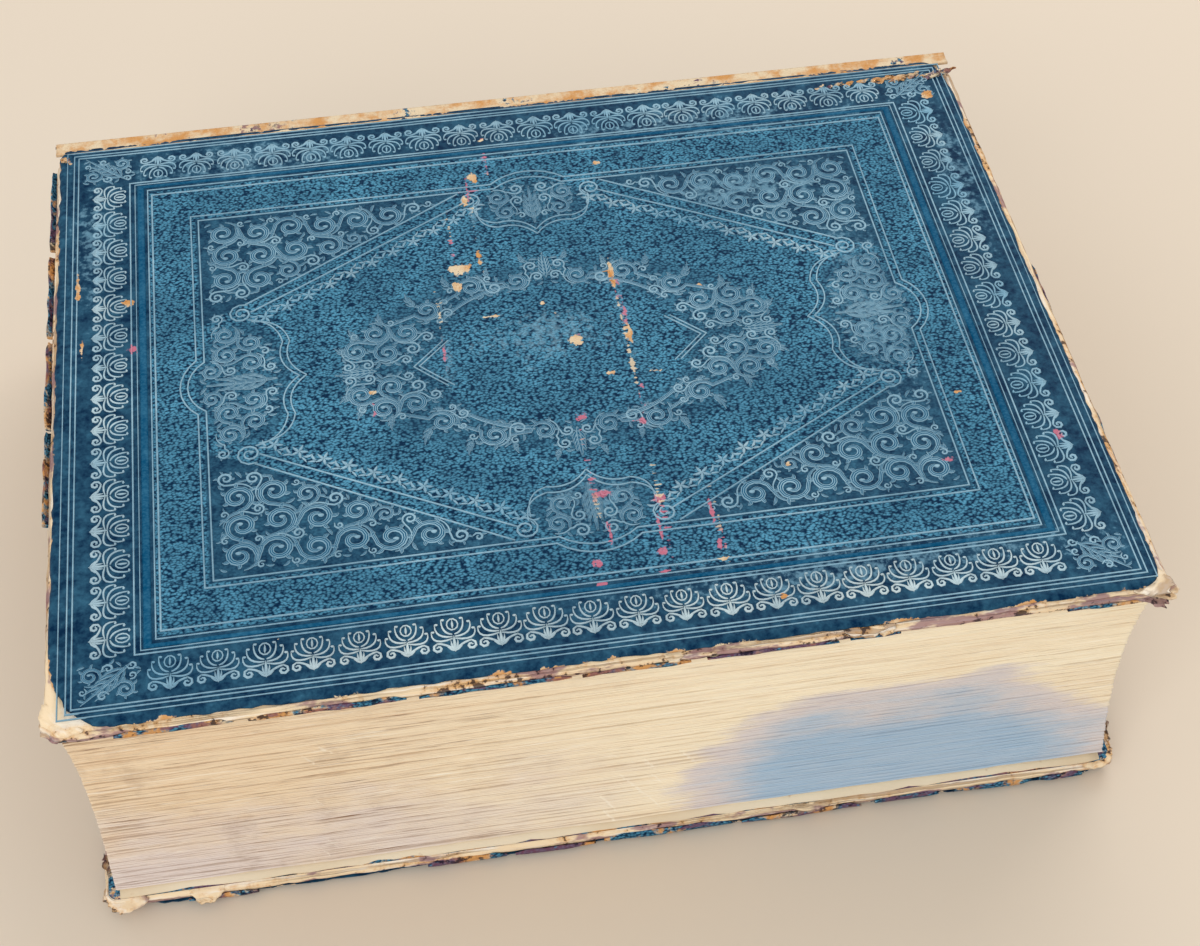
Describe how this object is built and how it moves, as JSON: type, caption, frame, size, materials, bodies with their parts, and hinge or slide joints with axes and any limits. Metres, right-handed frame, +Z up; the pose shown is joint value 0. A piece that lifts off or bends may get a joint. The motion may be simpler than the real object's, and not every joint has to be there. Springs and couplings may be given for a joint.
{
  "type": "bible",
  "caption": "Large antique family bible in tooled leather with raised bands, lying closed on its rear board; both covers hinge at the joints and loose end leaves turn with them.",
  "frame": {"origin": "centre of the bounding box at the underside of the rear board", "axes": "+X along the spine towards the head, +Y from the fore-edge towards the spine, +Z up through the front cover"},
  "size_m": [0.318, 0.258, 0.098],
  "materials": {
    "blue_leather": "worn, blind tooled, pebble grain",
    "millboard": "laminated grey-brown board",
    "endpaper": "aged, foxed",
    "page_paper": "aged, dusty edge",
    "lining_paper": "glued lining",
    "mull": "open weave",
    "headband_thread": "wound thread",
    "linen_tape": "woven tape"
  },
  "bodies": {
    "rear_cover": {"rear_board": "millboard", "rear_cover_leather": "blue_leather", "rear_pastedown": "endpaper", "rear_joint_leather": "blue_leather"},
    "text_block": {"gathering_01": "page_paper", "gathering_02": "page_paper", "gathering_03": "page_paper", "gathering_04": "page_paper", "gathering_05": "page_paper", "gathering_06": "page_paper", "gathering_07": "page_paper", "gathering_08": "page_paper", "gathering_09": "page_paper", "gathering_10": "page_paper", "gathering_11": "page_paper", "gathering_12": "page_paper", "gathering_13": "page_paper", "gathering_14": "page_paper", "gathering_15": "page_paper", "gathering_16": "page_paper", "gathering_17": "page_paper", "gathering_18": "page_paper", "gathering_19": "page_paper", "gathering_20": "page_paper", "gathering_21": "page_paper", "gathering_22": "page_paper", "gathering_23": "page_paper", "gathering_24": "page_paper", "spine_leather": "blue_leather", "spine_lining": "lining_paper", "spine_mull": "mull", "spine_glue": "lining_paper", "headband": "headband_thread", "tailband": "headband_thread", "sewing_tape_1": "linen_tape", "sewing_tape_2": "linen_tape", "sewing_tape_3": "linen_tape", "sewing_tape_4": "linen_tape", "sewing_tape_5": "linen_tape", "raised_band_1": "millboard", "raised_band_2": "millboard", "raised_band_3": "millboard", "raised_band_4": "millboard", "raised_band_5": "millboard"},
    "front_cover": {"front_board": "millboard", "front_cover_leather": "blue_leather", "front_pastedown": "endpaper", "front_joint_leather": "blue_leather"},
    "front_endpaper_leaf": {"front_endpaper": "endpaper"},
    "front_flyleaf_leaf": {"front_flyleaf": "page_paper"},
    "frontispiece": {"frontispiece_leaf": "page_paper"},
    "title_page": {"title_leaf": "page_paper"},
    "rear_endpaper_leaf": {"rear_endpaper": "endpaper"},
    "rear_flyleaf_leaf": {"rear_flyleaf": "page_paper"}
  },
  "joints": [
    {"name": "rear_hinge", "type": "hinge", "parent": "rear_cover", "child": "text_block", "pos_m": [0, 0.1145, 0], "axis": [-1, 0, 0], "range_deg": [0, 95]},
    {"name": "front_hinge", "type": "hinge", "parent": "text_block", "child": "front_cover", "pos_m": [0, 0.1145, 0.098], "axis": [-1, 0, 0], "range_deg": [0, 178]},
    {"name": "front_endpaper_leaf_turn", "type": "hinge", "parent": "text_block", "child": "front_endpaper_leaf", "pos_m": [0, 0.1145, 0.098], "axis": [-1, 0, 0], "range_deg": [0, 175.44]},
    {"name": "front_flyleaf_leaf_turn", "type": "hinge", "parent": "text_block", "child": "front_flyleaf_leaf", "pos_m": [0, 0.1145, 0.098], "axis": [-1, 0, 0], "range_deg": [0, 170.99]},
    {"name": "frontispiece_turn", "type": "hinge", "parent": "text_block", "child": "frontispiece", "pos_m": [0, 0.1145, 0.098], "axis": [-1, 0, 0], "range_deg": [0, 166.54]},
    {"name": "title_page_turn", "type": "hinge", "parent": "text_block", "child": "title_page", "pos_m": [0, 0.1145, 0.098], "axis": [-1, 0, 0], "range_deg": [0, 161.2]},
    {"name": "rear_endpaper_leaf_turn", "type": "hinge", "parent": "rear_cover", "child": "rear_endpaper_leaf", "pos_m": [0, 0.1145, 0], "axis": [-1, 0, 0], "range_deg": [0, 4.8]},
    {"name": "rear_flyleaf_leaf_turn", "type": "hinge", "parent": "rear_cover", "child": "rear_flyleaf_leaf", "pos_m": [0, 0.1145, 0], "axis": [-1, 0, 0], "range_deg": [0, 8.6]}
  ],
  "couplings": [
    {"joint": "front_endpaper_leaf_turn", "follows": "front_hinge", "ratio": 0.98},
    {"joint": "front_flyleaf_leaf_turn", "follows": "front_hinge", "ratio": 0.955},
    {"joint": "frontispiece_turn", "follows": "front_hinge", "ratio": 0.93},
    {"joint": "title_page_turn", "follows": "front_hinge", "ratio": 0.9},
    {"joint": "rear_endpaper_leaf_turn", "follows": "rear_hinge", "ratio": 0.04},
    {"joint": "rear_flyleaf_leaf_turn", "follows": "rear_hinge", "ratio": 0.08}
  ]
}
